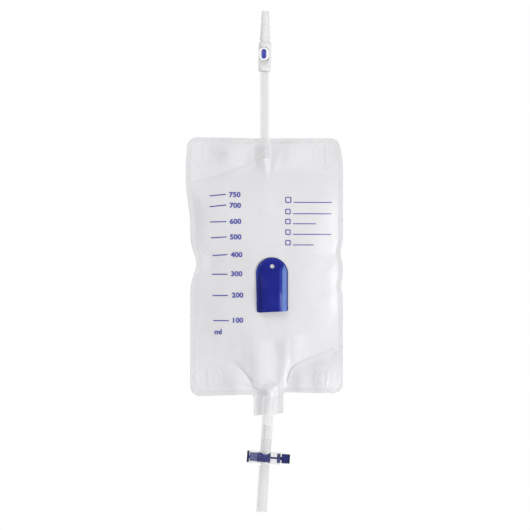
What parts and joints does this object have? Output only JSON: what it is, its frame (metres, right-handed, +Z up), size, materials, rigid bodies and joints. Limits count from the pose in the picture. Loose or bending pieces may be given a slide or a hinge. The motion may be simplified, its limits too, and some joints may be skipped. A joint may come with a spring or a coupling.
{
  "type": "urine drainage bag",
  "caption": "Clear film leg bag for urine, with a barbed inlet connector and sample port, a volume scale, a blue outlet pocket, a push-pull drain tap and a short drain tube.",
  "frame": {"origin": "in the weld plane between the two films, midway between the two upper strap slits", "axes": "+Z up as the bag hangs, towards the inlet connector; -Y out of the printed front; +X to the right as seen from the front"},
  "size_m": [0.1416, 0.0208, 0.4509],
  "materials": {
    "film": "satin",
    "soft_tube": "satin",
    "white_plastic": "satin",
    "clear_plastic": "gloss",
    "blue_sheet": "gloss",
    "navy_plastic": "satin",
    "blue_rubber": "matte",
    "seal_rubber": "matte"
  },
  "bodies": {
    "bag": {"bag_front_film": "film", "bag_back_film": "film", "reflux_valve_front_film": "film", "reflux_valve_back_film": "film", "outlet_pocket": "blue_sheet", "inlet_tube": "soft_tube", "connector_body": "white_plastic", "sample_port_collar": "white_plastic", "sample_port_septum": "blue_rubber", "outlet_tube": "soft_tube", "drain_tube": "soft_tube", "tap_body": "clear_plastic"},
    "spool": {"tap_spool": "navy_plastic", "tap_push_knob": "navy_plastic", "tap_end_disc": "navy_plastic", "spool_seal_1": "seal_rubber", "spool_seal_2": "seal_rubber", "spool_seal_3": "seal_rubber"}
  },
  "joints": [
    {"name": "tap_slide", "type": "slide", "parent": "bag", "child": "spool", "axis": [-0.9978, 0, 0.0663], "range_m": [0, 0.0075]}
  ]
}
